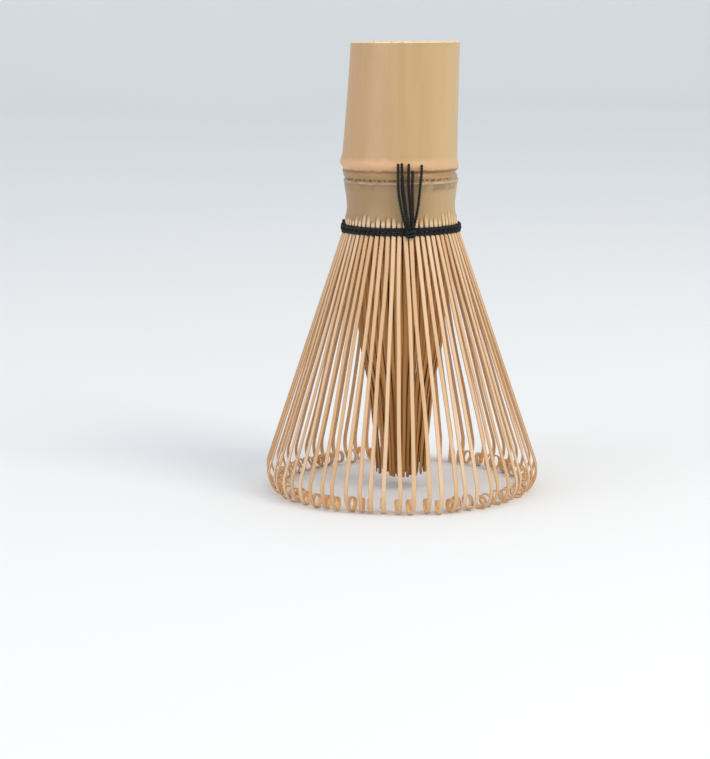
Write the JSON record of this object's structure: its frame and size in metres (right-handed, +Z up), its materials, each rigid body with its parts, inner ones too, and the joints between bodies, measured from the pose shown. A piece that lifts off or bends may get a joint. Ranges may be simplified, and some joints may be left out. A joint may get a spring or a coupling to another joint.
{
  "type": "bamboo tea whisk",
  "caption": "Bamboo tea whisk with a short grip, a ring of splayed curled outer tines, an inner bundle and a dark thread binding.",
  "frame": {"origin": "on the axis, level with the lowest point of the outer tines' curls", "axes": "+Z up along the axis from the tips to the cut end of the grip; the knot faces -Y"},
  "size_m": [0.0614, 0.0614, 0.0993],
  "materials": {
    "culm": "satin, faint upright grain",
    "outer_tine": "satin, pared",
    "inner_tine": "matt, split",
    "thread": "twisted, matt"
  },
  "bodies": {
    "handle": {"culm_handle": "culm", "thread_outer_turns": "thread", "thread_inner_turn": "thread", "thread_knot": "thread", "thread_tails": "thread"},
    "outer_group_01": {"outer_tines_01": "outer_tine"},
    "outer_group_02": {"outer_tines_02": "outer_tine"},
    "outer_group_03": {"outer_tines_03": "outer_tine"},
    "outer_group_04": {"outer_tines_04": "outer_tine"},
    "outer_group_05": {"outer_tines_05": "outer_tine"},
    "outer_group_06": {"outer_tines_06": "outer_tine"},
    "outer_group_07": {"outer_tines_07": "outer_tine"},
    "outer_group_08": {"outer_tines_08": "outer_tine"},
    "outer_group_09": {"outer_tines_09": "outer_tine"},
    "outer_group_10": {"outer_tines_10": "outer_tine"},
    "outer_group_11": {"outer_tines_11": "outer_tine"},
    "outer_group_12": {"outer_tines_12": "outer_tine"},
    "outer_group_13": {"outer_tines_13": "outer_tine"},
    "outer_group_14": {"outer_tines_14": "outer_tine"},
    "outer_group_15": {"outer_tines_15": "outer_tine"},
    "outer_group_16": {"outer_tines_16": "outer_tine"},
    "inner_group_1": {"inner_tines_1": "inner_tine"},
    "inner_group_2": {"inner_tines_2": "inner_tine"},
    "inner_group_3": {"inner_tines_3": "inner_tine"},
    "inner_group_4": {"inner_tines_4": "inner_tine"},
    "inner_group_5": {"inner_tines_5": "inner_tine"},
    "inner_group_6": {"inner_tines_6": "inner_tine"},
    "inner_group_7": {"inner_tines_7": "inner_tine"},
    "inner_group_8": {"inner_tines_8": "inner_tine"}
  },
  "joints": [
    {"name": "outer_flex_01", "type": "hinge", "parent": "handle", "child": "outer_group_01", "pos_m": [0.01253, 0.00249, 0.05787], "axis": [0.1951, -0.9808, 0], "range_deg": [-4, 8], "stiffness_Nm_per_rad": 0.02},
    {"name": "outer_flex_02", "type": "hinge", "parent": "handle", "child": "outer_group_02", "pos_m": [0.01063, 0.0071, 0.05787], "axis": [0.5556, -0.8315, 0], "range_deg": [-4, 8], "stiffness_Nm_per_rad": 0.02},
    {"name": "outer_flex_03", "type": "hinge", "parent": "handle", "child": "outer_group_03", "pos_m": [0.0071, 0.01063, 0.05787], "axis": [0.8315, -0.5556, 0], "range_deg": [-4, 8], "stiffness_Nm_per_rad": 0.02},
    {"name": "outer_flex_04", "type": "hinge", "parent": "handle", "child": "outer_group_04", "pos_m": [0.00249, 0.01253, 0.05787], "axis": [0.9808, -0.1951, 0], "range_deg": [-4, 8], "stiffness_Nm_per_rad": 0.02},
    {"name": "outer_flex_05", "type": "hinge", "parent": "handle", "child": "outer_group_05", "pos_m": [-0.00249, 0.01253, 0.05787], "axis": [0.9808, 0.1951, 0], "range_deg": [-4, 8], "stiffness_Nm_per_rad": 0.02},
    {"name": "outer_flex_06", "type": "hinge", "parent": "handle", "child": "outer_group_06", "pos_m": [-0.0071, 0.01063, 0.05787], "axis": [0.8315, 0.5556, 0], "range_deg": [-4, 8], "stiffness_Nm_per_rad": 0.02},
    {"name": "outer_flex_07", "type": "hinge", "parent": "handle", "child": "outer_group_07", "pos_m": [-0.01063, 0.0071, 0.05787], "axis": [0.5556, 0.8315, 0], "range_deg": [-4, 8], "stiffness_Nm_per_rad": 0.02},
    {"name": "outer_flex_08", "type": "hinge", "parent": "handle", "child": "outer_group_08", "pos_m": [-0.01253, 0.00249, 0.05787], "axis": [0.1951, 0.9808, 0], "range_deg": [-4, 8], "stiffness_Nm_per_rad": 0.02},
    {"name": "outer_flex_09", "type": "hinge", "parent": "handle", "child": "outer_group_09", "pos_m": [-0.01253, -0.00249, 0.05787], "axis": [-0.1951, 0.9808, 0], "range_deg": [-4, 8], "stiffness_Nm_per_rad": 0.02},
    {"name": "outer_flex_10", "type": "hinge", "parent": "handle", "child": "outer_group_10", "pos_m": [-0.01063, -0.0071, 0.05787], "axis": [-0.5556, 0.8315, 0], "range_deg": [-4, 8], "stiffness_Nm_per_rad": 0.02},
    {"name": "outer_flex_11", "type": "hinge", "parent": "handle", "child": "outer_group_11", "pos_m": [-0.0071, -0.01063, 0.05787], "axis": [-0.8315, 0.5556, 0], "range_deg": [-4, 8], "stiffness_Nm_per_rad": 0.02},
    {"name": "outer_flex_12", "type": "hinge", "parent": "handle", "child": "outer_group_12", "pos_m": [-0.00249, -0.01253, 0.05787], "axis": [-0.9808, 0.1951, 0], "range_deg": [-4, 8], "stiffness_Nm_per_rad": 0.02},
    {"name": "outer_flex_13", "type": "hinge", "parent": "handle", "child": "outer_group_13", "pos_m": [0.00249, -0.01253, 0.05787], "axis": [-0.9808, -0.1951, 0], "range_deg": [-4, 8], "stiffness_Nm_per_rad": 0.02},
    {"name": "outer_flex_14", "type": "hinge", "parent": "handle", "child": "outer_group_14", "pos_m": [0.0071, -0.01063, 0.05787], "axis": [-0.8315, -0.5556, 0], "range_deg": [-4, 8], "stiffness_Nm_per_rad": 0.02},
    {"name": "outer_flex_15", "type": "hinge", "parent": "handle", "child": "outer_group_15", "pos_m": [0.01063, -0.0071, 0.05787], "axis": [-0.5556, -0.8315, 0], "range_deg": [-4, 8], "stiffness_Nm_per_rad": 0.02},
    {"name": "outer_flex_16", "type": "hinge", "parent": "handle", "child": "outer_group_16", "pos_m": [0.01253, -0.00249, 0.05787], "axis": [-0.1951, -0.9808, 0], "range_deg": [-4, 8], "stiffness_Nm_per_rad": 0.02},
    {"name": "inner_flex_1", "type": "hinge", "parent": "handle", "child": "inner_group_1", "pos_m": [0.00979, 0.00406, 0.05787], "axis": [0.3827, -0.9239, 0], "range_deg": [0, 6], "stiffness_Nm_per_rad": 0.01},
    {"name": "inner_flex_2", "type": "hinge", "parent": "handle", "child": "inner_group_2", "pos_m": [0.00406, 0.00979, 0.05787], "axis": [0.9239, -0.3827, 0], "range_deg": [0, 6], "stiffness_Nm_per_rad": 0.01},
    {"name": "inner_flex_3", "type": "hinge", "parent": "handle", "child": "inner_group_3", "pos_m": [-0.00406, 0.00979, 0.05787], "axis": [0.9239, 0.3827, 0], "range_deg": [0, 6], "stiffness_Nm_per_rad": 0.01},
    {"name": "inner_flex_4", "type": "hinge", "parent": "handle", "child": "inner_group_4", "pos_m": [-0.00979, 0.00406, 0.05787], "axis": [0.3827, 0.9239, 0], "range_deg": [0, 6], "stiffness_Nm_per_rad": 0.01},
    {"name": "inner_flex_5", "type": "hinge", "parent": "handle", "child": "inner_group_5", "pos_m": [-0.00979, -0.00406, 0.05787], "axis": [-0.3827, 0.9239, 0], "range_deg": [0, 6], "stiffness_Nm_per_rad": 0.01},
    {"name": "inner_flex_6", "type": "hinge", "parent": "handle", "child": "inner_group_6", "pos_m": [-0.00406, -0.00979, 0.05787], "axis": [-0.9239, 0.3827, 0], "range_deg": [0, 6], "stiffness_Nm_per_rad": 0.01},
    {"name": "inner_flex_7", "type": "hinge", "parent": "handle", "child": "inner_group_7", "pos_m": [0.00406, -0.00979, 0.05787], "axis": [-0.9239, -0.3827, 0], "range_deg": [0, 6], "stiffness_Nm_per_rad": 0.01},
    {"name": "inner_flex_8", "type": "hinge", "parent": "handle", "child": "inner_group_8", "pos_m": [0.00979, -0.00406, 0.05787], "axis": [-0.3827, -0.9239, 0], "range_deg": [0, 6], "stiffness_Nm_per_rad": 0.01}
  ]
}
